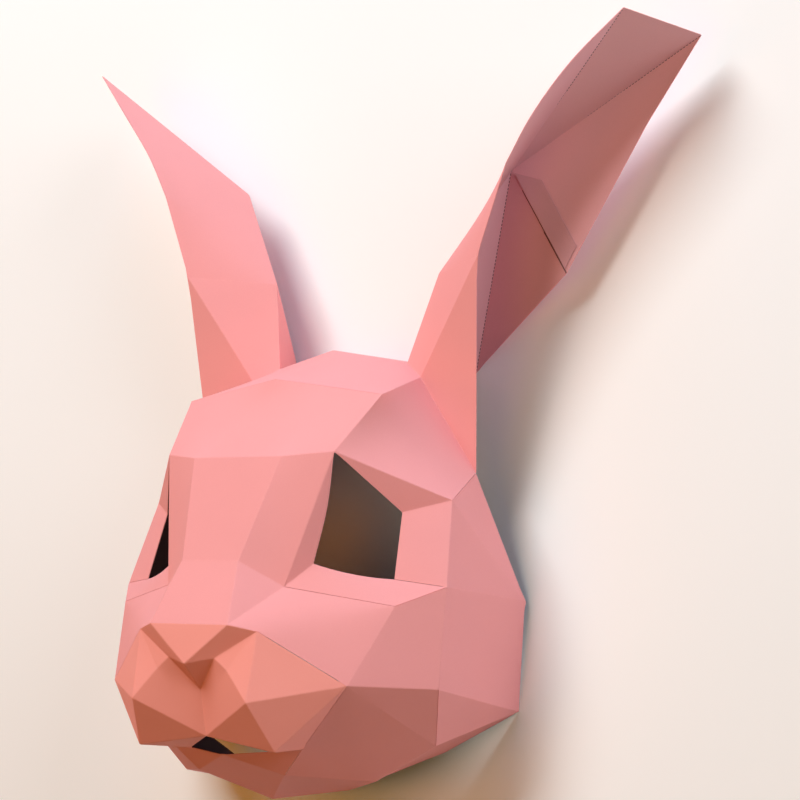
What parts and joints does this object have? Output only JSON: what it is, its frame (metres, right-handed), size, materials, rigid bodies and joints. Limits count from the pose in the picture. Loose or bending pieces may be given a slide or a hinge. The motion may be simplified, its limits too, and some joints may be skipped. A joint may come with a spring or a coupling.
{
  "type": "papercraft rabbit mask",
  "caption": "Faceted rabbit head mask folded from pink card, open at the back, with eye holes, a parted mouth and two tall cupped ears.",
  "frame": {"origin": "centre of the footprint, on the surface that the mask lies on", "axes": "+X towards the wearer's left, +Y towards the ear tips, +Z out of the face, with the mask lying on its open back"},
  "size_m": [0.4034, 0.4194, 0.1433],
  "materials": {
    "pink_card": "matte",
    "nose_card": "matte",
    "ear_card": "matte"
  },
  "bodies": {
    "root": {"crown": "pink_card", "forehead": "pink_card", "nose_bridge": "pink_card", "snout_top": "pink_card", "nose": "nose_card", "chin": "pink_card", "brow_left": "pink_card", "brow_right": "pink_card", "lid_left": "pink_card", "lid_right": "pink_card", "temple_left": "pink_card", "temple_right": "pink_card", "snout_side_left": "pink_card", "snout_side_right": "pink_card", "cheek_left": "pink_card", "cheek_right": "pink_card", "jowl_left": "pink_card", "jowl_right": "pink_card", "jaw_rear_left": "pink_card", "jaw_rear_right": "pink_card", "pad_left": "nose_card", "pad_right": "nose_card", "jaw_left": "pink_card", "jaw_right": "pink_card", "ear_front_left": "ear_card", "ear_front_right": "ear_card", "ear_back_left": "ear_card", "ear_back_right": "ear_card", "ear_tip_left": "ear_card", "ear_tip_right": "ear_card", "ear_tab_left": "ear_card", "ear_tab_right": "ear_card"}
  },
  "joints": []
}
